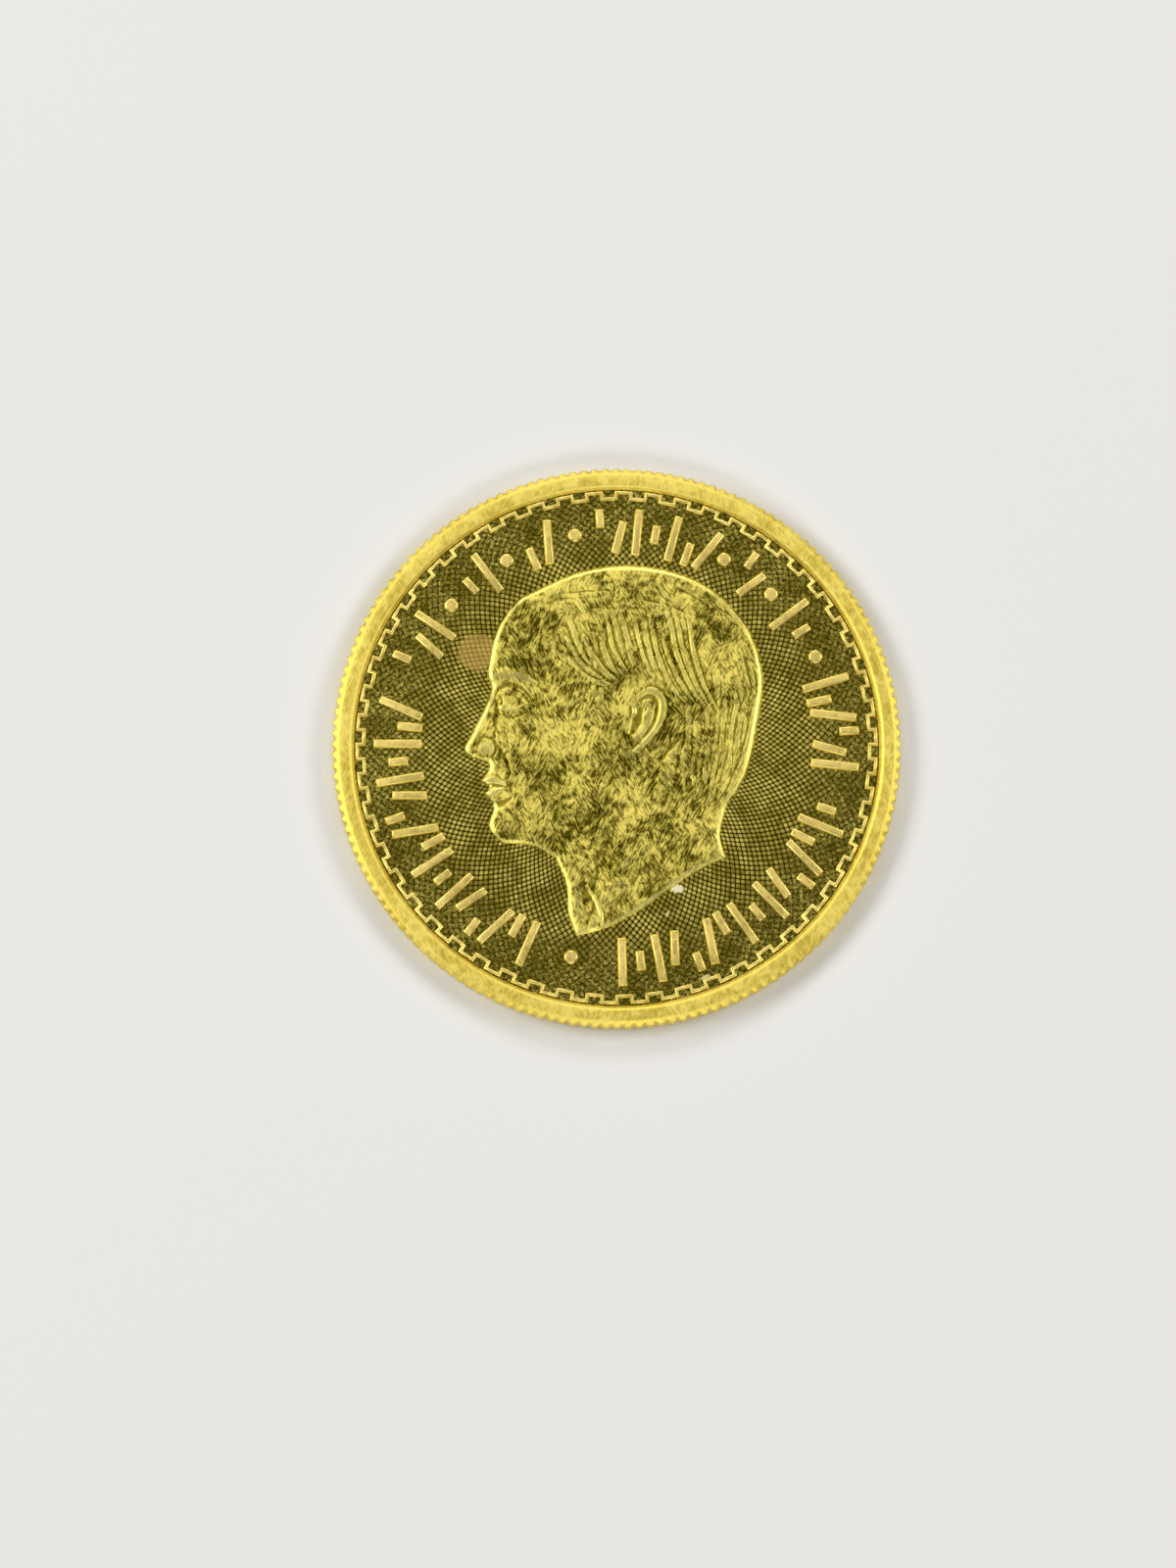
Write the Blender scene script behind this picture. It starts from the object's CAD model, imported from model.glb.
# A struck one-ounce gold coin, lying with its portrait up on a pale floor. Metres, the same frame as the solid.
import math
import random
import bmesh
import bpy
import numpy as np
from mathutils import Matrix, Vector


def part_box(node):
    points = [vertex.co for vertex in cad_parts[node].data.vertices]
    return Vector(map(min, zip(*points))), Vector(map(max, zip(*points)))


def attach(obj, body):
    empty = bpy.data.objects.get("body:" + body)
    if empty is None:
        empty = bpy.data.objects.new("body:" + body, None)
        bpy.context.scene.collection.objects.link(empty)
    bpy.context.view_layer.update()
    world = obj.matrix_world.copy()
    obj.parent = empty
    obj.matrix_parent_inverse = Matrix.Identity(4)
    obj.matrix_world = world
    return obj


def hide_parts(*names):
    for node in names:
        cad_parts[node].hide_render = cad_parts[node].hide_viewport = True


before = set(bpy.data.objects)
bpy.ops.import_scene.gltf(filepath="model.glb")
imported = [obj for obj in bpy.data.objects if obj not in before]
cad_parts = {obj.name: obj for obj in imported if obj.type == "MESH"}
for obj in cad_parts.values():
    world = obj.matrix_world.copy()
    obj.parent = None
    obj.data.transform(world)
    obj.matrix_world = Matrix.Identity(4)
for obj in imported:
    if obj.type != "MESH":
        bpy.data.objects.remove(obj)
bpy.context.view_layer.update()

mm = 0.001

# the coin's own sizes: the reach and the thickness come from the solid, the rest are the struck coin's
low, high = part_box("coin")
coin = {
    "radius": high.x - 0.0005 * mm, "thickness": high.z,
    "rimWidth": 1.37 * mm, "rimSlope": 0.12 * mm, "bevel": 0.1 * mm,
    "lip": {"width": 0.26 * mm, "drop": 0.1 * mm}, "shoulder": {"width": 0.38 * mm, "drop": 0.16 * mm},
    "reeds": 160, "reedDepth": 0.16 * mm, "reedReach": 0.3 * mm, "stepsPerReed": 6,
    "obverseDepth": 0.36 * mm, "reverseDepth": 0.27 * mm, "plate": 0.12 * mm,
}
coin["fieldRadius"] = coin["radius"] - coin["rimWidth"]
coin["fieldZ"] = coin["thickness"] - coin["obverseDepth"]
print("frame loaded: radius", round(coin["radius"] / mm, 3), "mm, thickness", round(coin["thickness"] / mm, 3), "mm")


def polar(radius, degrees, z=0.0):
    angle = math.radians(degrees)
    return Vector((radius * math.cos(angle), radius * math.sin(angle), z))


def finishPiece(name, bm, materials, smoothAngle=40):
    # closes off a piece: normals outwards, its finish, and its place on the coin's body
    bmesh.ops.recalc_face_normals(bm, faces=bm.faces)
    sharp = math.radians(smoothAngle)
    for edge in bm.edges:
        edge.smooth = len(edge.link_faces) == 2 and edge.calc_face_angle(0) < sharp
    for face in bm.faces:
        face.smooth = True
    mesh = bpy.data.meshes.new(name)
    bm.to_mesh(mesh)
    bm.free()
    for material in materials:
        mesh.materials.append(material)
    piece = bpy.data.objects.new(name, mesh)
    bpy.context.scene.collection.objects.link(piece)
    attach(piece, "root")
    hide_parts("coin")
    triangles = sum(len(p.vertices) - 2 for p in mesh.polygons)
    print(name, "made:", triangles, "triangles")
    return piece


def spinProfile(bm, points, steps):
    # turns a line of (radius, height) points once round the coin's axis and closes it at the axis
    verts = [bm.verts.new((radius, 0, z)) for radius, z in points]
    edges = [bm.edges.new(pair) for pair in zip(verts, verts[1:])]
    bmesh.ops.spin(bm, geom=verts + edges, cent=(0, 0, 0), axis=(0, 0, 1), angle=2 * math.pi, steps=steps,
                   use_merge=True)
    poles = [v for v in bm.verts if v.co.xy.length < 0.001 * mm]
    bmesh.ops.remove_doubles(bm, verts=poles, dist=0.002 * mm)


# the portrait is drawn in shares of the head's height: x from the brow to the back, y from the chin up
portrait = {
    "middle": (0.459, 0.355),
    "outline": {
        "face": [(0.118, 0.885), (0.062, 0.82), (0.028, 0.745), (0.012, 0.67), (0.004, 0.605), (0.018, 0.558),
                 (0.004, 0.51), (-0.028, 0.44), (-0.064, 0.372), (-0.078, 0.342), (-0.068, 0.318),
                 (-0.038, 0.305), (0.004, 0.292), (0.008, 0.262), (-0.014, 0.222), (0.01, 0.203),
                 (-0.002, 0.176), (0.026, 0.13), (0.01, 0.062), (0.052, 0.006), (0.15, -0.004), (0.245, -0.052)],
        "throat": [(0.245, -0.052), (0.283, -0.15), (0.29, -0.245), (0.318, -0.326)],
        "neckCut": [(0.318, -0.326), (0.42, -0.3), (0.54, -0.235), (0.66, -0.15), (0.76, -0.085), (0.842, -0.05)],
        "nape": [(0.842, -0.05), (0.822, 0.03), (0.842, 0.125)],
        "back": [(0.842, 0.125), (0.915, 0.255), (0.955, 0.43), (0.974, 0.61), (0.915, 0.79), (0.765, 0.935),
                 (0.56, 0.998), (0.345, 0.982), (0.118, 0.885)],
    },
    "jaw": [(0.03, 0), (0.11, -0.01), (0.205, 0.012), (0.3, 0.06), (0.385, 0.125), (0.44, 0.195),
            (0.478, 0.27), (0.54, 0.27), (0.66, 0.2), (0.85, 0.12)],
    "aboveJaw": [(1.2, 0.1), (1.2, 1.2), (-0.4, 1.2), (-0.4, 0)],
    "hairLine": [(0.085, 0.872), (0.128, 0.812), (0.185, 0.76), (0.205, 0.7), (0.222, 0.645), (0.275, 0.605),
                 (0.318, 0.565), (0.345, 0.52), (0.365, 0.475), (0.392, 0.438), (0.42, 0.442), (0.44, 0.47),
                 (0.452, 0.515), (0.475, 0.56), (0.53, 0.6), (0.59, 0.585), (0.632, 0.52), (0.64, 0.44),
                 (0.632, 0.35), (0.64, 0.27), (0.675, 0.2), (0.73, 0.15), (0.79, 0.125), (0.85, 0.12)],
    "aboveHairLine": [(1.2, 0.1), (1.2, 1.3), (0, 1.3)],
    # rounded masses: middle, radii, turn in degrees, height
    "masses": [
        ((0.075, 0.735), (0.1, 0.12), 0, 0.08),         # forehead
        ((0.2, 0.6), (0.085, 0.1), 20, -0.16),          # temple
        ((0.185, 0.435), (0.135, 0.065), -14, 0.17),    # cheekbone
        ((0.255, 0.275), (0.12, 0.12), 30, -0.17),      # hollow of the cheek
        ((0.115, 0.3), (0.075, 0.1), 12, 0.1),          # round of the cheek by the mouth
        ((0.082, 0.525), (0.08, 0.052), -8, -0.3),      # eye socket
        ((0.03, 0.515), (0.026, 0.045), 0, -0.1),       # its inner corner
        ((-0.008, 0.336), (0.038, 0.032), 20, 0.2),     # wing of the nose
        ((0.082, 0.196), (0.02, 0.026), 20, -0.1),      # corner of the mouth
        ((0.058, 0.066), (0.06, 0.056), 0, 0.2),        # chin
        ((0.33, 0.13), (0.17, 0.07), 34, 0.09),         # edge of the jaw
    ],
    "eyeball": ((0.077, 0.51), (0.042, 0.033), -6, 0.26),
    # ridges, and grooves where the height is below zero: line, half widths along it, height
    "ridges": [
        ([(0.01, 0.594), (0.055, 0.606), (0.11, 0.602), (0.17, 0.574)], (0.022, 0.03, 0.026, 0.012), 0.17),
        ([(0.036, 0.52), (0.05, 0.541), (0.082, 0.547), (0.114, 0.53), (0.142, 0.498)],
         (0.008, 0.012, 0.013, 0.011, 0.005), 0.15),                                        # upper lid
        ([(0.046, 0.488), (0.068, 0.476), (0.098, 0.478), (0.13, 0.496)], (0.007, 0.01, 0.009, 0.005), 0.12),
        ([(0.042, 0.556), (0.08, 0.571), (0.122, 0.558), (0.158, 0.522)], (0.006, 0.01, 0.01, 0.005), -0.14),
        ([(0.058, 0.459), (0.09, 0.449), (0.128, 0.46)], (0.008, 0.012, 0.006), -0.08),
        ([(0.048, 0.523), (0.055, 0.508), (0.051, 0.496)], (0.005, 0.008, 0.005), -0.12),    # the pupil
        ([(0.02, 0.545), (-0.006, 0.47), (-0.038, 0.395), (-0.056, 0.345)], (0.012, 0.016, 0.02, 0.024), 0.08),
        ([(0.036, 0.5), (0.03, 0.44), (0.026, 0.385)], (0.016, 0.02, 0.014), -0.1),          # side of the nose
        ([(-0.006, 0.382), (0.024, 0.368), (0.034, 0.338), (0.022, 0.308)], (0.006, 0.01, 0.011, 0.006), -0.18),
        ([(-0.042, 0.312), (-0.024, 0.315), (-0.004, 0.306)], (0.005, 0.009, 0.005), -0.18),  # nostril
        ([(0.042, 0.345), (0.064, 0.305), (0.086, 0.245)], (0.008, 0.018, 0.007), -0.11),
        ([(-0.012, 0.228), (0.022, 0.227), (0.064, 0.208)], (0.018, 0.017, 0.006), 0.17),    # upper lip
        ([(-0.004, 0.18), (0.024, 0.182), (0.06, 0.199)], (0.019, 0.018, 0.006), 0.19),      # lower lip
        ([(-0.012, 0.2055), (0.026, 0.2065), (0.072, 0.2)], (0.007, 0.008, 0.006), -0.26),   # between them
        ([(0.018, 0.138), (0.05, 0.14), (0.085, 0.16)], (0.016, 0.018, 0.008), -0.16),       # under the lip
        ([(0.655, 0.32), (0.62, 0.2), (0.56, 0.06), (0.48, -0.1), (0.375, -0.29)],
         (0.02, 0.045, 0.058, 0.05, 0.022), 0.2),
        ([(0.47, 0.1), (0.4, -0.06), (0.35, -0.2)], (0.03, 0.04, 0.025), -0.14),
        ([(0.285, -0.06), (0.315, -0.14), (0.328, -0.26)], (0.016, 0.026, 0.016), 0.12),
        ([(0.352, -0.15), (0.386, -0.205), (0.405, -0.262), (0.406, -0.3)], (0.005, 0.008, 0.008, 0.006), 0.18),
        ([(0.78, 0.16), (0.745, 0.05), (0.7, -0.06), (0.65, -0.17)], (0.02, 0.07, 0.08, 0.04), 0.12),
    ],
    "ridgePower": 1.5,
}

# the ear, in the same shares about its own middle, leaning back
ear = {
    "middle": (0.545, 0.43), "lean": 14, "base": 0.62, "rise": 0.1,
    "outline": [(-0.052, 0.04), (-0.04, 0.098), (0, 0.14), (0.05, 0.128), (0.08, 0.078), (0.078, 0.01),
                (0.048, -0.06), (0.01, -0.12), (-0.03, -0.148), (-0.056, -0.13), (-0.06, -0.08),
                (-0.052, -0.03), (-0.052, 0.04)],
    "ridges": [
        ([(-0.03, 0.03), (-0.044, 0.07), (-0.028, 0.11), (0.006, 0.125), (0.044, 0.11), (0.064, 0.065),
          (0.06, 0.01), (0.034, -0.055), (0, -0.105)],
         (0.008, 0.014, 0.018, 0.019, 0.018, 0.018, 0.017, 0.014, 0.006), 0.16),
        ([(-0.02, 0.078), (0.006, 0.1), (0.036, 0.086), (0.045, 0.045), (0.041, 0), (0.022, -0.045)],
         (0.008, 0.012, 0.013, 0.013, 0.012, 0.008), -0.15),
        ([(-0.01, 0.082), (0.014, 0.062), (0.024, 0.03), (0.017, -0.02), (-0.008, -0.062)],
         (0.008, 0.015, 0.016, 0.015, 0.012), 0.1),
        ([(-0.012, 0.045), (-0.014, 0.005), (-0.022, -0.04)], (0.014, 0.024, 0.014), -0.24),
        ([(-0.054, 0.012), (-0.046, -0.02), (-0.042, -0.046)], (0.01, 0.018, 0.01), 0.12),
        ([(-0.04, -0.085), (-0.03, -0.112), (-0.014, -0.108)], (0.02, 0.03, 0.024), 0.14),
    ],
}

# the hair: each comb holds the lines of its first and last lock; its long locks are drawn in turn, then its
# loose ones, and each lies on top of what was drawn before
hair = {
    "combs": [
        {"first": [(0.655, 0.62), (0.69, 0.5), (0.695, 0.38), (0.68, 0.28), (0.7, 0.17)],
         "last": [(0.9, 0.8), (0.965, 0.6), (0.95, 0.43), (0.905, 0.27), (0.835, 0.125)],
         "locks": 8, "stagger": 6, "loose": 26, "relief": 0.55},
        {"first": [(0.245, 0.66), (0.3, 0.6), (0.34, 0.52), (0.368, 0.43), (0.396, 0.365)],
         "last": [(0.47, 0.68), (0.442, 0.6), (0.438, 0.52), (0.432, 0.45), (0.412, 0.38)],
         "locks": 6, "stagger": 2, "loose": 3, "relief": 0.6},
        {"first": [(0.12, 0.78), (0.24, 0.82), (0.42, 0.83), (0.62, 0.8), (0.78, 0.7), (0.86, 0.54)],
         "last": [(0.09, 0.872), (0.31, 0.972), (0.56, 0.99), (0.77, 0.925), (0.92, 0.78), (0.972, 0.6)],
         "locks": 0, "stagger": 0, "loose": 52, "relief": 0.28},
        {"first": [(0.14, 0.86), (0.155, 0.77), (0.2, 0.68), (0.275, 0.62), (0.365, 0.575)],
         "last": [(0.66, 0.96), (0.72, 0.83), (0.745, 0.68), (0.79, 0.55), (0.85, 0.46)],
         "locks": 18, "stagger": 8, "loose": 8, "relief": 0.9},
    ],
    "halfWidth": (0.016, 0.024), "looseLength": (0.2, 0.42), "wander": 0.005, "lift": -0.02, "level": 0.04,
    "lock": 0.29, "bed": 0.7, "strand": 0.06, "strands": 1.7, "seed": 7, "melt": 0.35,
}

# the engraver's short strokes on the skin: their size along and across, their depth and their directions
toolMarks = {"along": 0.034, "across": 0.0076, "depth": 0.027, "turns": (38, 62, 84, 128), "patch": 0.08}


def curveThrough(points, steps=6):
    # points on a smooth line through the given ones
    p = np.array(points, float)
    p = np.vstack([2 * p[0] - p[1], p, 2 * p[-1] - p[-2]])
    t = np.arange(steps)[:, None] / steps
    spans = []
    for a, b, c, d in zip(p[:-3], p[1:-2], p[2:-1], p[3:]):
        spans.append(b + 0.5 * t * (c - a + t * (2 * a - 5 * b + 4 * c - d + t * (3 * (b - c) + d - a))))
    return np.vstack(spans + [p[-2:-1]])


def portraitOutline():
    return np.vstack([curveThrough(line)[:-1] for line in portrait["outline"].values()])


def depthInside(outline, x, y):
    # the distance to a closed outline, positive inside it
    nearest = np.full(x.shape, 9.0)
    inside = np.zeros(x.shape, bool)
    for (ax, ay), (bx, by) in zip(outline, np.roll(outline, -1, axis=0)):
        dx, dy = bx - ax, by - ay
        share = np.clip(((x - ax) * dx + (y - ay) * dy) / (dx * dx + dy * dy + 1e-12), 0, 1)
        nearest = np.minimum(nearest, (x - ax - share * dx) ** 2 + (y - ay - share * dy) ** 2)
        if ay != by:
            inside ^= ((ay > y) != (by > y)) & (x < ax + dx * (y - ay) / dy)
    return np.where(inside, 1, -1) * np.sqrt(nearest)


def rounded(depth, width):
    return np.sqrt(1 - (1 - np.clip(depth / width, 0, 1)) ** 2)


def smooth(low, high, value):
    share = np.clip((value - low) / (high - low), 0, 1)
    return share * share * (3 - 2 * share)


def massOn(x, y, middle, radii, turn=0, power=1.5):
    # one at the middle of an oval, falling to nothing at its edge
    c, s = math.cos(math.radians(turn)), math.sin(math.radians(turn))
    across = ((x - middle[0]) * c + (y - middle[1]) * s) / radii[0]
    along = ((y - middle[1]) * c - (x - middle[0]) * s) / radii[1]
    return np.clip(1 - across ** 2 - along ** 2, 0, 1) ** power


def acrossLine(x, y, points, widths):
    # where each place lies across a line, -1 and 1 at its edges, and the share along it
    across, along = np.full(x.shape, 9.0), np.zeros(x.shape)
    for i in range(len(points) - 1):
        (ax, ay), (dx, dy) = points[i], points[i + 1] - points[i]
        share = np.clip(((x - ax) * dx + (y - ay) * dy) / (dx * dx + dy * dy), 0, 1)
        ox, oy = x - ax - share * dx, y - ay - share * dy
        width = widths[i] + share * (widths[i + 1] - widths[i])
        off = np.hypot(ox, oy) / width * np.sign(ox * dy - oy * dx)
        nearer = np.abs(off) < np.abs(across)
        across = np.where(nearer, off, across)
        along = np.where(nearer, (i + share) / (len(points) - 1), along)
    return across, along


def placesNear(x, y, line, reach):
    (lowX, lowY), (highX, highY) = line.min(axis=0) - reach, line.max(axis=0) + reach
    return (x > lowX) & (x < highX) & (y > lowY) & (y < highY)


def ridgeOn(x, y, line, halfWidths):
    # one on a smooth line, falling to nothing at its half width
    points = curveThrough(line)
    widths = np.interp(np.linspace(0, 1, len(points)), np.linspace(0, 1, len(halfWidths)), halfWidths)
    near = placesNear(x, y, points, max(halfWidths))
    across, along = acrossLine(x[near], y[near], points, widths)
    ridge = np.zeros(x.shape)
    ridge[near] = np.clip(1 - across ** 2, 0, 1) ** portrait["ridgePower"]
    return ridge


def layLock(height, x, y, line, relief, rng):
    # one tapering lock with its own strands, over what is there
    shares = np.linspace(0, 1, len(line))
    phase, bend = rng.uniform(0, 6.28), rng.uniform(-1, 1)
    sway = hair["wander"] * (np.sin(phase + 5 * shares) + bend * shares ** 2)
    side = np.gradient(line, axis=0)[:, ::-1] * (1, -1)
    line = line + sway[:, None] * side / np.hypot(*side.T)[:, None]
    taper = np.interp(shares, (0, 0.15, 0.5, 0.8, 1), (0.08, 0.75, 1, 0.75, 0.06))
    near = placesNear(x, y, line, hair["halfWidth"][1])
    across, along = acrossLine(x[near], y[near], line, rng.uniform(*hair["halfWidth"]) * taper)
    body = np.sqrt(np.clip(1 - across ** 2, 0, 1))
    strands = np.cos(math.pi * hair["strands"] * (across + 0.15 * np.sin(6 * along + phase)))
    lock = hair["level"] * rng.uniform(-1, 1) + relief * body * (hair["lock"] + hair["strand"] * strands)
    lock += hair["lock"] * (1 - relief) * hair["bed"]
    # its root melts into what lies under it
    cover = smooth(0, 0.5, body) * smooth(0, hair["melt"], along)
    height[near] = height[near] * (1 - cover) + lock * cover


def combedHair(x, y):
    # tapering locks laid over one another
    rng = random.Random(hair["seed"])
    height = np.full(x.shape, hair["lock"] * hair["bed"])
    for comb in hair["combs"]:
        first, last = np.array(comb["first"]), np.array(comb["last"])
        for i in range(comb["locks"]):
            share = (i + rng.uniform(0.3, 0.7)) / comb["locks"]
            guide = curveThrough(first + (last - first) * share, 7)
            layLock(height, x, y, guide[rng.randint(0, comb["stagger"]):], comb["relief"], rng)
        for i in range(comb["loose"]):
            guide = curveThrough(first + (last - first) * rng.uniform(0.03, 0.97), 7)
            length = int(len(guide) * rng.uniform(*hair["looseLength"]))
            start = rng.randint(0, len(guide) - length)
            layLock(height, x, y, guide[start:start + length], comb["relief"], rng)
    return height


def randomBumps(x, y, seed):
    # smooth random bumps between -1 and 1, one to a unit
    table = np.random.default_rng(seed).uniform(-1, 1, (211, 197))
    i, j = np.floor(x).astype(int), np.floor(y).astype(int)
    u, v = smooth(0, 1, x - i), smooth(0, 1, y - j)
    near, far = ((table[k % 211, j % 197] * (1 - v) + table[k % 211, (j + 1) % 197] * v) for k in (i, i + 1))
    return near * (1 - u) + far * u


def tooledSkin(x, y):
    # patches of short strokes, each patch with a direction of its own
    marks = np.zeros(x.shape)
    size = toolMarks["patch"]
    for i, turn in enumerate(toolMarks["turns"]):
        c, s = math.cos(math.radians(turn)), math.sin(math.radians(turn))
        patch = smooth(-0.1, 0.45, randomBumps(x / size + 3, y / size + 3, 40 + i))
        along, across = (x * c + y * s) / toolMarks["along"], (y * c - x * s) / toolMarks["across"]
        marks += patch * randomBumps(along, across, 11 + i)
    return toolMarks["depth"] * marks


def earShell(x, y):
    # the ear's height, and how far it covers what lies behind it
    lean = math.radians(ear["lean"])
    dx, dy = x - ear["middle"][0], y - ear["middle"][1]
    u, v = dx * math.cos(lean) - dy * math.sin(lean), dx * math.sin(lean) + dy * math.cos(lean)
    depth = depthInside(curveThrough(ear["outline"]), u, v)
    shell = ear["base"] + ear["rise"] * smooth(-0.05, 0.05, u) + 0.14 * rounded(depth, 0.024)
    for line, widths, rise in ear["ridges"]:
        shell += rise * ridgeOn(u, v, line, widths)
    return shell, smooth(-0.004, 0.01, depth)


def headRelief(x, y):
    # the height of the portrait over the field, before it is scaled to the depth of the field
    edge = depthInside(portraitOutline(), x, y)
    jaw = depthInside(np.vstack([curveThrough(portrait["jaw"]), portrait["aboveJaw"]]), x, y)
    combed = depthInside(np.vstack([curveThrough(portrait["hairLine"]), portrait["aboveHairLine"]]), x, y)

    # a sloping border that catches the light all round, then the broad rounding of the neck and the skull
    border = rounded(edge, 0.028) * 0.6 + np.clip(edge / 0.015, 0, 1) * 0.4
    neck = 0.06 + 0.34 * border + 0.08 * rounded(edge, 0.12)
    skull = 0.14 + 0.42 * border + 0.14 * rounded(edge, 0.14)
    skull += 0.12 * massOn(x, y, (0.54, 0.6), (0.5, 0.46), 0, 0.8)
    skull += 0.16 * massOn(x, y, (0.27, 0.3), (0.3, 0.34), -25, 1)
    jawFall = 0.045 + 0.3 * smooth(0.4, 0.72, x)
    height = neck + (skull - neck) * smooth(-0.6, 1, jaw / jawFall)
    for middle, radii, turn, rise in portrait["masses"]:
        height += rise * massOn(x, y, middle, radii, turn)
    middle, radii, turn, rise = portrait["eyeball"]
    height += rise * massOn(x, y, middle, radii, turn, 0.7)
    for line, widths, rise in portrait["ridges"]:
        height += rise * ridgeOn(x, y, line, widths)
    height += tooledSkin(x, y) * smooth(0.015, 0.045, edge)

    inHair = combed > 0
    locks = combedHair(x[inHair], y[inHair]) + hair["lift"]
    height[inHair] += locks * smooth(0, 0.06, combed[inHair])
    shell, cover = earShell(x, y)
    return height * (1 - cover) + shell * cover, edge


class Socket:
    # one output of a shader node: Python's operators on it add Math nodes
    def __init__(self, tree, output):
        self.tree, self.output = tree, output

    def add(self, kind, settings=None, inputs=None, out=0):
        node = self.tree.nodes.new(kind)
        for name, value in (settings or {}).items():
            setattr(node, name, value)
        for name, value in (inputs or {}).items():
            if isinstance(value, Socket):
                self.tree.links.new(value.output, node.inputs[name])
            else:
                node.inputs[name].default_value = value
        return Socket(self.tree, node.outputs[out])

    def math(self, operation, *values):
        return self.add("ShaderNodeMath", {"operation": operation}, dict(enumerate(values)))

    def __add__(self, other):
        return self.math("ADD", self, other)

    def __sub__(self, other):
        return self.math("SUBTRACT", self, other)

    def __mul__(self, other):
        return self.math("MULTIPLY", self, other)

    def __rsub__(self, other):
        return self.math("SUBTRACT", other, self)

    __radd__, __rmul__ = __add__, __mul__

    def between(self, low, high):
        # 0 below low, 1 above high, smooth between them; low above high turns it round
        return self.add("ShaderNodeMapRange", {"interpolation_type": "SMOOTHSTEP"},
                        {"Value": self, "From Min": low, "From Max": high})

    def tone(self, first, second):
        # a colour mixed by this value
        return self.add("ShaderNodeMix", {"data_type": "RGBA"}, {"Factor": self, "A": first, "B": second}, out=2)

    def noise(self, size=1.0, detail=2.0, roughness=0.5, distortion=0.0):
        # a noise with features of that size, read at this place
        return self.add("ShaderNodeTexNoise", None,
                        {"Vector": self, "Scale": 1 / size, "Detail": detail, "Roughness": roughness,
                         "Distortion": distortion})

    def laid(self, middle=(0, 0, 0), turn=0.0, size=(1, 1, 1)):
        # this place as seen in a frame at middle, turned by degrees, with size as its units
        return self.add("ShaderNodeMapping", {"vector_type": "TEXTURE"},
                        {"Vector": self, "Location": middle, "Rotation": (0, 0, math.radians(turn)), "Scale": size})

    def along(self, axis):
        return self.add("ShaderNodeSeparateXYZ", None, {"Vector": self}, out=axis)

    def length(self):
        return self.add("ShaderNodeVectorMath", {"operation": "LENGTH"}, {0: self}, out="Value")


def toneOf(color):
    return (*color, 1.0)


# the finishes of the struck gold. Each has its bright and dull colours, the roughness of its polished and its
# matte patches, the size in millimetres of its mottling, its grain and its short strokes, and how deep the grain is
finishes = {
    "rim": {"bright": (1.0, 0.83, 0.2), "dull": (0.86, 0.65, 0.09), "roughness": (0.46, 0.62),
            "mottle": 0.6, "grain": 0.12, "hatch": 0.11, "bump": 0.006, "scratches": 0.5},
    "field": {"bright": (1.0, 0.83, 0.19), "dull": (0.56, 0.44, 0.05), "roughness": (0.35, 0.48),
              "mottle": 0.6, "grain": 0.09, "hatch": 0.08, "bump": 0.003, "scratches": 0.3},
    "portrait": {"bright": (1.0, 0.84, 0.19), "dull": (0.44, 0.348, 0.01), "roughness": (0.21, 0.65),
                 "mottle": 0.5, "grain": 0.08, "hatch": 0.115, "bump": 0.007, "scratches": 0.3},
    "tops": {"bright": (0.94, 0.73, 0.23), "dull": (0.74, 0.55, 0.14), "roughness": (0.46, 0.6),
             "mottle": 0.4, "grain": 0.1, "hatch": 0.1, "bump": 0.006, "scratches": 0.2},
    "edges": {"bright": (1.0, 0.86, 0.26), "dull": (0.95, 0.79, 0.2), "roughness": (0.36, 0.42),
              "mottle": 0.5, "grain": 0.1, "hatch": 0.1, "bump": 0.003, "scratches": 0.1},
    "back": {"bright": (0.92, 0.73, 0.15), "dull": (0.8, 0.63, 0.12), "roughness": (0.24, 0.36),
             "mottle": 1.6, "grain": 0.08, "hatch": 0.08, "bump": 0.003, "scratches": 0.6},
}
shade = {"hollow": (0.22, 0.165, 0.005), "crest": (1.0, 0.89, 0.27)}


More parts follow.
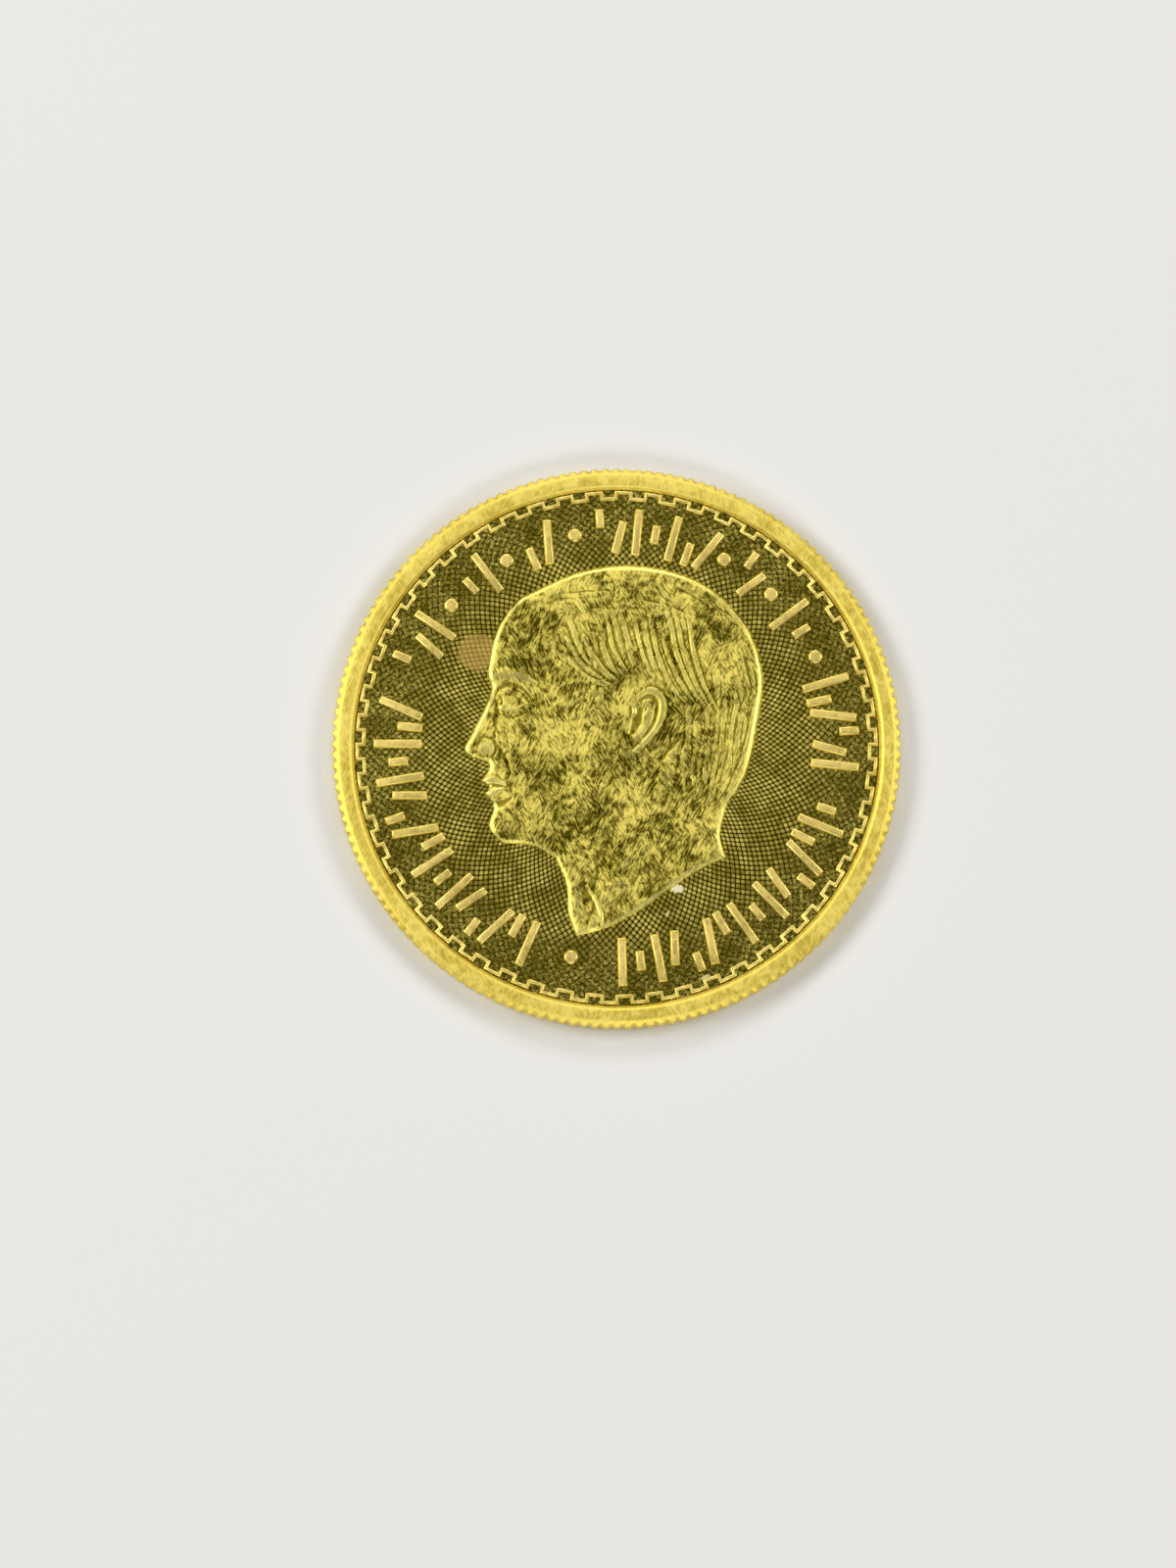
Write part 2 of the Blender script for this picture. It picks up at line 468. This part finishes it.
def goldMaterial(name, look):
    material = bpy.data.materials.new(name)
    material.use_nodes = True
    tree = material.node_tree
    shader = tree.nodes["Principled BSDF"]
    shader.inputs["Metallic"].default_value = 1.0
    place = Socket(tree, tree.nodes.new("ShaderNodeTexCoord").outputs["Object"]).laid(size=(mm, mm, mm))

    patches = place.noise(look["mottle"], detail=4, roughness=0.6).between(0.36, 0.64)
    clouds = place.laid((7, 3, 1)).noise(2.4, detail=2).between(0.36, 0.66)
    grain = place.noise(look["grain"], detail=2, roughness=0.6)
    stroke = look["hatch"]
    steep = place.laid(turn=64, size=(5 * stroke, stroke, stroke)).noise(detail=1.5, distortion=0.6)
    flat = place.laid(turn=118, size=(4 * stroke, stroke, stroke)).noise(detail=1.5, distortion=0.6)
    leaning = place.laid((2, 9, 4)).noise(1.7, detail=1).between(0.46, 0.54)
    hatch = (steep + (flat - steep) * leaning).between(0.42, 0.6)
    long = place.laid(turn=37, size=(3, 0.1, 1)).noise(detail=1.5).between(0.64, 0.72)
    cross = place.laid(turn=-58, size=(2.6, 0.09, 1)).noise(detail=1.5).between(0.65, 0.74)
    scratches = long.math("MAXIMUM", long, cross) * look["scratches"]

    light = (hatch * 0.34 + patches * 0.33 + clouds * 0.33).between(-0.02, 0.98)
    tone = light.tone(toneOf(look["dull"]), toneOf(look["bright"]))
    polished, matte = look["roughness"]
    rough = polished + (matte - polished) * light - scratches * 0.06
    height = grain * 0.5 + hatch * 0.7 - scratches * 0.5
    metal = None
    if name == "portrait":
        tone, rough, height = shadedHollows(tone, rough, height)
    if name == "field":
        tone, rough, metal = markedField(place, tone, rough)
    bump = height.add("ShaderNodeBump", None, {"Strength": 1.0, "Distance": look["bump"] * mm, "Height": height})
    tree.links.new(tone.output, shader.inputs["Base Color"])
    tree.links.new(rough.output, shader.inputs["Roughness"])
    tree.links.new(bump.output, shader.inputs["Normal"])
    if metal:
        tree.links.new(metal.output, shader.inputs["Metallic"])
    return material


def shadedHollows(tone, rough, height):
    # dark between the strokes of the relief, bright, burnished and smooth on its crests
    crest = tone.add("ShaderNodeAttribute", {"attribute_name": "crest"}, None, out="Fac")
    hollow, burnished, border = crest.between(-0.1, -1.0), crest.between(0.4, 1.4), crest.between(1.7, 2.8)
    tone = (hollow * 0.8).tone(tone, toneOf(shade["hollow"]))
    tone = (burnished * 0.55 + border * 0.4).tone(tone, toneOf(shade["crest"]))
    return tone, rough + (0.42 - rough) * burnished * 0.8, height * (1 - burnished * 0.6)


# what lies on the field, in millimetres from the coin's middle: the round coppery toning beside the brow and the
# pale residue below the neck
marks = {
    "toning": {"place": (-9.5, 6.4), "radii": (1.34, 1.3), "turn": 0, "edge": 0.12, "cover": 0.62,
               "tone": (0.6, 0.36, 0.1), "roughness": 0.5, "metal": 0.85},
    "residue": {"place": (4.05, -9.9), "radii": (0.46, 0.27), "turn": -14, "edge": 0.3, "cover": 0.9,
                "tone": (0.86, 0.82, 0.55), "roughness": 0.7, "metal": 0.45},
    "crumb": {"place": (3.4, -11.6), "radii": (0.2, 0.13), "turn": 40, "edge": 0.4, "cover": 0.7,
              "tone": (0.82, 0.74, 0.4), "roughness": 0.6, "metal": 0.7},
    "crumbByBorder": {"place": (5.9, -15.9), "radii": (0.34, 0.12), "turn": 20, "edge": 0.4, "cover": 0.8,
                      "tone": (0.9, 0.76, 0.4), "roughness": 0.6, "metal": 0.6},
}

# the field's chequered texture: two spiral families of fine grooves that cross
field = {"cyclesRound": 180, "cyclesPerMm": 2.0, "from": 8.2 * mm, "depth": 0.034 * mm, "samples": 4,
         "groove": (0.27, 0.212, 0.002), "grooveRoughness": 0.22, "worn": (12.2, 15.4)}


def markedField(place, tone, rough):
    # the grooves of the chequered texture are dark, and the marks lie over them
    around = place.math("ARCTAN2", place.along("Y"), place.along("X")) * field["cyclesRound"]
    flatPlace = place.laid(size=(1, 1, 10000))
    outward = (flatPlace.length() - field["from"] / mm) * (2 * math.pi * field["cyclesPerMm"])
    net = (around.math("COSINE", around) + outward.math("COSINE", outward)) * 0.5
    cushion = net.math("ABSOLUTE", net).between(0.05, 0.62)
    # the texture is rougher and less even out among the strokes
    worn = flatPlace.length().between(*field["worn"]) * 0.65
    specks = place.noise(0.16, detail=3, roughness=0.65).between(0.4, 0.66)
    cushion = cushion + (specks - cushion) * worn
    tone = cushion.tone(toneOf(field["groove"]), tone)
    rough = field["grooveRoughness"] + (rough - field["grooveRoughness"]) * cushion
    glints = place.laid((3, 1, 0)).noise(0.3, detail=1).between(0.69, 0.74)
    tone = glints.tone(tone, toneOf(shade["crest"]))
    metal = 1.0
    for mark in marks.values():
        away = place.laid((*mark["place"], 0), mark["turn"], (*mark["radii"], 10000)).length()
        ragged = away + (place.noise(0.45, detail=3) - 0.5) * 3 * mark["edge"]
        mask = ragged.between(1 + mark["edge"], 1 - mark["edge"]) * mark["cover"]
        tone = mask.tone(tone, toneOf(mark["tone"]))
        rough = rough + (mark["roughness"] - rough) * mask
        metal = metal + mask * (mark["metal"] - 1)
    return tone, rough, metal


gold = {name: goldMaterial(name, look) for name, look in finishes.items()}
print("finishes made:", ", ".join(gold))


def buildBlank():
    # the rims, the reeded edge and the sunk fields under the struck designs
    r, t, z = coin["radius"], coin["thickness"], coin["fieldZ"] - coin["plate"]
    inner, slope, bevel = coin["fieldRadius"], coin["rimSlope"], coin["bevel"]
    lip, shoulder = coin["lip"], coin["shoulder"]
    soft = 0.05 * mm
    corners = [(inner, lip["drop"]), (inner + lip["width"], 0), (r - bevel - shoulder["width"], 0),
               (r - bevel, shoulder["drop"])]

    def rimPoints(field, sign, top):
        # from the field up the steep slope, then over the lip, the flat and the shoulder
        points = [(inner - slope - soft, field), (inner - slope, field + sign * soft)]
        for (nearRadius, nearDrop), (farRadius, farDrop) in zip(corners, corners[1:]):
            points += [(nearRadius + (farRadius - nearRadius) * share,
                        top - sign * (nearDrop + (farDrop - nearDrop) * share)) for share in (0.08, 0.5, 0.92)]
        return points

    side = [(r - bevel + bevel * math.sin(a), shoulder["drop"] + bevel * (1 - math.cos(a)))
            for a in (math.radians(18 * i) for i in range(2, 6))]
    back = coin["reverseDepth"] + coin["plate"]
    profile = [(0, back)] + rimPoints(back, -1, 0)
    profile += side + [(radius, t - height) for radius, height in reversed(side)]
    profile += list(reversed(rimPoints(z, 1, t))) + [(0, z)]

    bm = bmesh.new()
    spinProfile(bm, profile, coin["reeds"] * coin["stepsPerReed"])
    start = r - coin["reedReach"]
    for v in bm.verts:
        radius = v.co.xy.length
        if radius > start:
            # rounded reeds with narrow valleys, fading out over the shoulder
            phase = (math.atan2(v.co.y, v.co.x) / (2 * math.pi) * coin["reeds"]) % 1
            valley = max(0.0, 1 - abs(phase - 0.5) * 3.4) ** 0.8
            cut = coin["reedDepth"] * valley * min((radius - start) / coin["reedReach"] * 1.2, 1)
            v.co.xy *= (radius - cut) / radius
    return finishPiece("coinBlank", bm, [gold["rim"]], 50)


def buildField():
    # a plate that fills the sunk obverse field, textured on top
    z, under = coin["fieldZ"], coin["fieldZ"] - coin["plate"] * 1.2
    reach = coin["fieldRadius"] - coin["rimSlope"] * 0.5
    ring = mm / (field["cyclesPerMm"] * field["samples"])
    rings = int((reach - field["from"]) / ring)
    radii = [0, field["from"] * 0.5] + [field["from"] + ring * i for i in range(rings + 1)]
    profile = [(0, under), (reach, under), (reach, z)] + [(radius, z) for radius in reversed(radii)]
    bm = bmesh.new()
    spinProfile(bm, profile, field["cyclesRound"] * field["samples"])
    for v in bm.verts:
        radius = v.co.xy.length
        if v.co.z > z - 0.01 * mm and radius > field["from"] - 0.01 * mm and radius < reach - 0.01 * mm:
            around = math.cos(field["cyclesRound"] * math.atan2(v.co.y, v.co.x))
            outward = math.cos(2 * math.pi * field["cyclesPerMm"] * (radius - field["from"]) / mm)
            v.co.z += field["depth"] * (abs(around + outward) / 2 - 0.5)
    return finishPiece("obverseField", bm, [gold["field"]], 80)


# the portrait's real sizes. A fine and a broad crest are each so many cells wide and so high
bust = {"neckReach": 0.1 * mm, "clearance": 0.05 * mm, "cell": 0.064 * mm, "wall": 0.1 * mm, "skirt": 0.14 * mm,
        "crests": ((4, 0.014 * mm), (16, 0.055 * mm)), "border": (0.002, 0.01, 0.021)}


def sumAround(grid, reach):
    padded = np.pad(grid, reach, mode="edge")
    rows = sum(padded[i:i + grid.shape[0]] for i in range(2 * reach + 1))
    return sum(rows[:, i:i + grid.shape[1]] for i in range(2 * reach + 1))


def crestsOf(grid, inside, reach):
    # how far each place stands above the mean of the places round it that are inside the outline
    return grid - sumAround(grid * inside, reach) / np.maximum(sumAround(inside * 1.0, reach), 1)


def buildPortrait(legendInner):
    outline = portraitOutline()
    middle = np.array(portrait["middle"])
    headHeight = (legendInner + bust["neckReach"]) / np.hypot(*(outline - middle).T).max()
    reach = bust["wall"] * 1.6 / headHeight
    lowest, highest = outline.min(axis=0) - reach, outline.max(axis=0) + reach
    cells = [int(span / bust["cell"]) for span in (highest - lowest) * headHeight]

    bm = bmesh.new()
    bmesh.ops.create_grid(bm, x_segments=cells[0], y_segments=cells[1], size=0.5)
    crestLayer = bm.verts.layers.float.new("crest")
    shares = np.array([v.co.xy for v in bm.verts]) + 0.5
    x, y = (lowest + shares * (highest - lowest)).T
    height, edge = headRelief(x, y)
    scale = (coin["obverseDepth"] - bust["clearance"]) / height[edge > 0].max()
    # outside the outline the wall falls below the field
    z = coin["fieldZ"] + (height + np.minimum(edge, 0) * headHeight / bust["wall"] * 0.5) * scale
    z = np.maximum(z, coin["fieldZ"] - bust["skirt"])
    grid, inside = (values.reshape(cells[1] + 1, cells[0] + 1) for values in (z, edge > 0.01))
    crests = sum(crestsOf(grid, inside, wide).ravel() / full for wide, full in bust["crests"])
    crests = np.where(edge < 0.01, np.maximum(crests, 0), crests)
    start, full, end = bust["border"]
    crests += 3 * smooth(start, full, edge) * smooth(end, full, edge)
    dropped = []
    for v, vx, vy, vz, depth, crest in zip(bm.verts, x, y, z, edge, crests):
        v.co = ((vx - middle[0]) * headHeight, (vy - middle[1]) * headHeight, vz)
        v[crestLayer] = crest
        if depth < -reach * 0.8:
            dropped.append(v)
    bmesh.ops.delete(bm, geom=dropped, context="VERTS")
    rim = [edge for edge in bm.edges if edge.is_boundary]
    grown = bmesh.ops.extrude_edge_only(bm, edges=rim)["geom"]
    for v in (g for g in grown if isinstance(g, bmesh.types.BMVert)):
        v.co.z = coin["fieldZ"] - bust["skirt"] * 1.2
    bmesh.ops.holes_fill(bm, edges=[edge for edge in bm.edges if edge.is_boundary], sides=0)
    return finishPiece("portrait", bm, [gold["portrait"]], 80)


# the crenellated line inside the rim
fret = {"gap": 0.07 * mm, "depth": 0.67 * mm, "periods": 54, "line": 0.23 * mm, "height": 0.16 * mm,
        "root": 0.06 * mm, "bevel": 0.08 * mm}


def squareWave(outer, inner, widening):
    # a closed square wave round the coin, its outer stretches widened by half a line
    step = 360 / fret["periods"]
    grow = math.degrees(widening / outer)
    points = []
    for i in range(fret["periods"]):
        first, last = step * i - grow, step * (i + 0.5) + grow
        points += [polar(inner, first), polar(outer, first), polar(outer, last), polar(inner, last)]
    return points


def buildFret():
    half = fret["line"] / 2
    outer = coin["fieldRadius"] - coin["rimSlope"] - fret["gap"] - half
    inner = outer - fret["depth"] + fret["line"]
    bm = bmesh.new()
    loops = []
    for side in (half, -half):
        verts = [bm.verts.new(p) for p in squareWave(outer + side, inner + side, side)]
        loops.append([bm.edges.new(pair) for pair in zip(verts, verts[1:] + verts[:1])])
    bmesh.ops.bridge_loops(bm, edges=loops[0] + loops[1])
    grown = bmesh.ops.extrude_face_region(bm, geom=list(bm.faces))["geom"]
    raised = {g for g in grown if isinstance(g, bmesh.types.BMVert)}
    bmesh.ops.translate(bm, verts=bm.verts, vec=(0, 0, coin["fieldZ"] - fret["root"]))
    bmesh.ops.translate(bm, verts=list(raised), vec=(0, 0, fret["root"] + fret["height"]))
    bm.normal_update()
    rims = [e for e in bm.edges if set(e.verts) <= raised and any(abs(f.normal.z) < 0.5 for f in e.link_faces)]
    bmesh.ops.bevel(bm, geom=rims, offset=fret["bevel"], segments=2, profile=0.5, affect="EDGES", material=1)
    finishPiece("borderLine", bm, [gold["tops"], gold["edges"]])
    return inner - half


# the rows of strokes and the dots that stand for the legend, places in degrees from three o'clock
legend = {
    "gap": 0.6 * mm, "height": 3.2 * mm, "relief": 0.17 * mm, "root": 0.06 * mm, "pitch": 1.25 * mm,
    "width": 0.52 * mm, "draft": 0.05 * mm, "bevel": 0.09 * mm, "dot": 0.9 * mm,
    "rows": [(-192, -111.3), (143.5, 160.3), (123.8, 134.8), (105.6, 116.4), (62.7, 96.5), (48.4, 56),
             (29.1, 40.2), (-7.7, 18.9), (-91, -15)],
    "dots": [139.4, 120.4, 101, 60.2, 44.6, 24.1, -102],
    # each stroke's length, its place across the row and its lean, taken in turn
    "forms": [(1, 0, 0), (0.52, -0.24, 0), (1, 0, 14), (0.4, 0.3, 0), (0.74, -0.13, 14), (1, 0, 0), (0.4, 0, 0)],
}


def addStroke(bm, length, placing):
    made = bmesh.ops.create_cube(bm, size=1)["verts"]
    bmesh.ops.scale(bm, verts=made, vec=(length, legend["width"], legend["relief"] + legend["root"]))
    bmesh.ops.translate(bm, verts=made, vec=(0, 0, (legend["relief"] - legend["root"]) / 2))
    for v in made:
        if v.co.z < 0:
            v.co.x += math.copysign(legend["draft"], v.co.x)
            v.co.y += math.copysign(legend["draft"], v.co.y)
    bmesh.ops.transform(bm, matrix=placing, verts=made)


def buildLegend(fretInner):
    outer = fretInner - legend["gap"]
    middle = outer - legend["height"] / 2
    bm = bmesh.new()
    drawn = 0
    for start, end in legend["rows"]:
        strokes = max(round(math.radians(end - start) * middle / legend["pitch"]), 1)
        for i in range(strokes):
            length, shift, lean = legend["forms"][drawn % len(legend["forms"])]
            angle = end + (start - end) * (i + 0.5) / strokes
            placing = (Matrix.Rotation(math.radians(angle), 4, "Z")
                       @ Matrix.Translation((middle + legend["height"] * shift, 0, coin["fieldZ"]))
                       @ Matrix.Rotation(math.radians(-lean), 4, "Z"))
            addStroke(bm, legend["height"] * length * math.cos(math.radians(lean)), placing)
            drawn += 1
    for degrees in legend["dots"]:
        radius = legend["dot"] / 2
        made = bmesh.ops.create_cone(bm, cap_ends=True, segments=28, radius1=radius + legend["draft"],
                                     radius2=radius, depth=legend["relief"] + legend["root"])["verts"]
        lift = (legend["relief"] - legend["root"]) / 2
        bmesh.ops.translate(bm, verts=made, vec=polar(middle, degrees, coin["fieldZ"] + lift))
    top = coin["fieldZ"] + legend["relief"] - 0.01 * mm
    rims = [e for e in bm.edges if all(v.co.z > top for v in e.verts)]
    bmesh.ops.bevel(bm, geom=rims, offset=legend["bevel"], segments=3, profile=0.5, affect="EDGES", material=1)
    finishPiece("legendStrokes", bm, [gold["tops"], gold["edges"]])
    return outer - legend["height"]


# the wreath, the rosette and the plain ring of the reverse
wreath = {"gap": 2.6 * mm, "relief": 0.2 * mm, "stem": 0.34 * mm, "leafLength": 3.9 * mm, "leafWidth": 1.5 * mm,
          "leafPitch": 3.5 * mm, "spread": 38, "opening": 26, "rosette": 3.6 * mm, "petal": 1.5 * mm, "petals": 8,
          "bud": 1.5 * mm, "ringGap": 1.1 * mm, "ring": 0.3 * mm, "root": 0.04 * mm}


def addLeaf(bm, length, width, placing):
    # a pointed leaf with a raised midrib and slightly cupped halves, growing along +Y
    made = bmesh.ops.create_grid(bm, x_segments=8, y_segments=14, size=0.5)["verts"]
    for v in made:
        across, along = v.co.x * 2, v.co.y + 0.5
        half = width / 2 * math.sin(math.pi * min(max(along, 0.002), 0.998) ** 0.85)
        body = math.sqrt(max(0, 1 - across ** 2)) * 0.75
        rib = max(0, 1 - abs(across) * 3.2) * 0.3
        rise = (body + rib) * wreath["relief"] * max(math.sin(math.pi * along), 0) ** 0.4
        v.co = (across * half, along * length, rise - wreath["root"])
    rim = [e for e in bm.edges if e.is_boundary and e.verts[0] in set(made)]
    grown = bmesh.ops.extrude_edge_only(bm, edges=rim)["geom"]
    bottom = [g for g in grown if isinstance(g, bmesh.types.BMVert)]
    bmesh.ops.translate(bm, verts=bottom, vec=(0, 0, -0.03 * mm))
    bmesh.ops.holes_fill(bm, edges=[e for e in bm.edges if e.is_boundary], sides=0)
    bmesh.ops.transform(bm, matrix=placing, verts=made + bottom)


def addBand(bm, radius, width, start, span, taper, placing):
    # a low rounded band along an arc, its width shrinking by the taper to its end
    rise, root = wreath["relief"], -wreath["root"]
    section = ((-1, root), (-0.7, 0.5 * rise), (0, 0.7 * rise), (0.7, 0.5 * rise), (1, root))
    verts = [bm.verts.new((radius + share * width / 2, 0, z)) for share, z in section]
    edges = [bm.edges.new(pair) for pair in zip(verts, verts[1:] + verts[:1])]
    steps = max(int(abs(span) / 3), 8)
    before = set(bm.verts) - set(verts)
    bmesh.ops.spin(bm, geom=verts + edges, cent=(0, 0, 0), axis=(0, 0, 1), angle=math.radians(span), steps=steps,
                   use_merge=abs(span) >= 360)
    made = [v for v in bm.verts if v not in before]
    for v in made:
        reach = v.co.xy.length
        share = abs(math.degrees(math.atan2(v.co.y, v.co.x)) / span)
        v.co.xy *= (radius + (reach - radius) * (1 - taper * share)) / reach
    bmesh.ops.holes_fill(bm, edges=[e for e in bm.edges if e.is_boundary], sides=0)
    bmesh.ops.transform(bm, matrix=placing @ Matrix.Rotation(math.radians(start), 4, "Z"), verts=made)


def buildReverse():
    # a polished plate with the laurel branches, the rosette and the ring on it
    z, reach = coin["reverseDepth"], coin["fieldRadius"] - coin["rimSlope"] * 0.5
    bm = bmesh.new()
    spinProfile(bm, [(0, z), (reach, z), (reach, z + coin["plate"] * 1.2), (0, z + coin["plate"] * 1.2)], 180)
    finishPiece("reverseField", bm, [gold["back"]])

    under = Matrix.Translation((0, 0, z)) @ Matrix.Rotation(math.pi, 4, "Y")
    radius = coin["fieldRadius"] - wreath["gap"] - wreath["leafLength"] / 2
    span = 180 - wreath["opening"]
    stations = round(math.radians(span) * radius / wreath["leafPitch"])
    bm = bmesh.new()
    for side in (-1, 1):
        addBand(bm, radius, wreath["stem"], -90 + side * 6, side * (span - 6), 0.6, under)
        for i in range(stations):
            degrees = -90 + side * (6 + (span - 6) * (i + 0.6) / stations)
            for lean in (-wreath["spread"], wreath["spread"]):
                turned = math.radians(degrees + (0 if side > 0 else 180) + lean)
                placing = under @ Matrix.Translation(polar(radius, degrees)) @ Matrix.Rotation(turned, 4, "Z")
                addLeaf(bm, wreath["leafLength"], wreath["leafWidth"], placing)
    for i in range(wreath["petals"]):
        turned = 2 * math.pi * i / wreath["petals"]
        addLeaf(bm, wreath["rosette"], wreath["petal"], under @ Matrix.Rotation(turned, 4, "Z"))
    bud = bmesh.ops.create_uvsphere(bm, u_segments=24, v_segments=12, radius=wreath["bud"] / 2)["verts"]
    bmesh.ops.scale(bm, verts=bud, vec=(1, 1, wreath["relief"] * 1.1 / (wreath["bud"] / 2)))
    bmesh.ops.transform(bm, matrix=under, verts=bud)
    addBand(bm, coin["fieldRadius"] - wreath["ringGap"], wreath["ring"], 0, 360, 0, under)
    finishPiece("reverseLeaves", bm, [gold["tops"]], 60)


buildBlank()
buildField()
fretInner = buildFret()
legendInner = buildLegend(fretInner)
buildPortrait(legendInner)
buildReverse()

# the camera looks down on the lying coin, at the photograph's angle
shot = {"elevation": 80, "distance": 0.22, "framePixels": (1200, 1600), "pixelsPerMm": 15.08, "sensor": 24.0,
        "coinPixel": (629.3, 758.4)}


def placeCamera():
    camera = bpy.data.objects.new("camera", bpy.data.cameras.new("camera"))
    bpy.context.scene.collection.objects.link(camera)
    bpy.context.scene.camera = camera
    wide, tall = shot["framePixels"]
    camera.data.sensor_fit = "VERTICAL"
    camera.data.sensor_height = shot["sensor"]
    camera.data.lens = shot["sensor"] * shot["distance"] / mm * shot["pixelsPerMm"] / tall
    camera.data.clip_start = 0.01
    right = (shot["coinPixel"][0] - wide / 2) / shot["pixelsPerMm"] * mm
    down = (tall / 2 - shot["coinPixel"][1]) / shot["pixelsPerMm"] * mm
    rise = math.radians(shot["elevation"])
    aim = Vector((-right, -down / math.sin(rise), coin["thickness"]))
    back = Vector((0, -math.cos(rise), math.sin(rise)))
    camera.location = aim + back * shot["distance"]
    camera.rotation_euler = back.to_track_quat("Z", "Y").to_euler()


# soft lamps in a ring: their azimuth and elevation in degrees, distance, size and power. Straight above stays dark,
# as over the photographed coin, so that polished flats show dark and slopes and matte faces show bright
lamps = {
    "leftPanel": {"azimuth": 168, "elevation": 46, "distance": 1.05, "size": (0.6, 0.375), "power": 5.4},
    "rightPanel": {"azimuth": 14, "elevation": 44, "distance": 1.05, "size": (0.55, 0.35), "power": 3.6},
    "backPanel": {"azimuth": 92, "elevation": 40, "distance": 1.1, "size": (0.65, 0.3), "power": 3.5},
    "frontPanel": {"azimuth": 274, "elevation": 42, "distance": 1.1, "size": (0.65, 0.3), "power": 3.75},
}
studio = {"world": (0.32, 0.32, 0.31), "worldStrength": 0.27, "floor": (0.8, 0.79, 0.77), "floorSize": 4}


def buildStudio():
    for name, lamp in lamps.items():
        data = bpy.data.lights.new(name, "AREA")
        data.shape = "RECTANGLE"
        data.size, data.size_y = lamp["size"]
        data.energy = lamp["power"]
        light = bpy.data.objects.new(name, data)
        rise = math.radians(lamp["elevation"])
        light.location = polar(math.cos(rise), lamp["azimuth"], math.sin(rise)) * lamp["distance"]
        light.rotation_euler = light.location.to_track_quat("Z", "Y").to_euler()
        bpy.context.scene.collection.objects.link(light)
    world = bpy.data.worlds.new("studio")
    bpy.context.scene.world = world
    world.use_nodes = True
    world.node_tree.nodes["Background"].inputs["Color"].default_value = toneOf(studio["world"])
    world.node_tree.nodes["Background"].inputs["Strength"].default_value = studio["worldStrength"]

    bm = bmesh.new()
    bmesh.ops.create_grid(bm, x_segments=2, y_segments=2, size=studio["floorSize"] / 2)
    mesh = bpy.data.meshes.new("floor")
    bm.to_mesh(mesh)
    bm.free()
    material = bpy.data.materials.new("paleFloor")
    material.use_nodes = True
    shader = material.node_tree.nodes["Principled BSDF"]
    shader.inputs["Base Color"].default_value = toneOf(studio["floor"])
    shader.inputs["Roughness"].default_value = 0.8
    mesh.materials.append(material)
    floor = bpy.data.objects.new("floor", mesh)
    bpy.context.scene.collection.objects.link(floor)


placeCamera()
buildStudio()
bpy.context.scene.view_settings.view_transform = "Standard"
print("camera, lamps and floor placed")
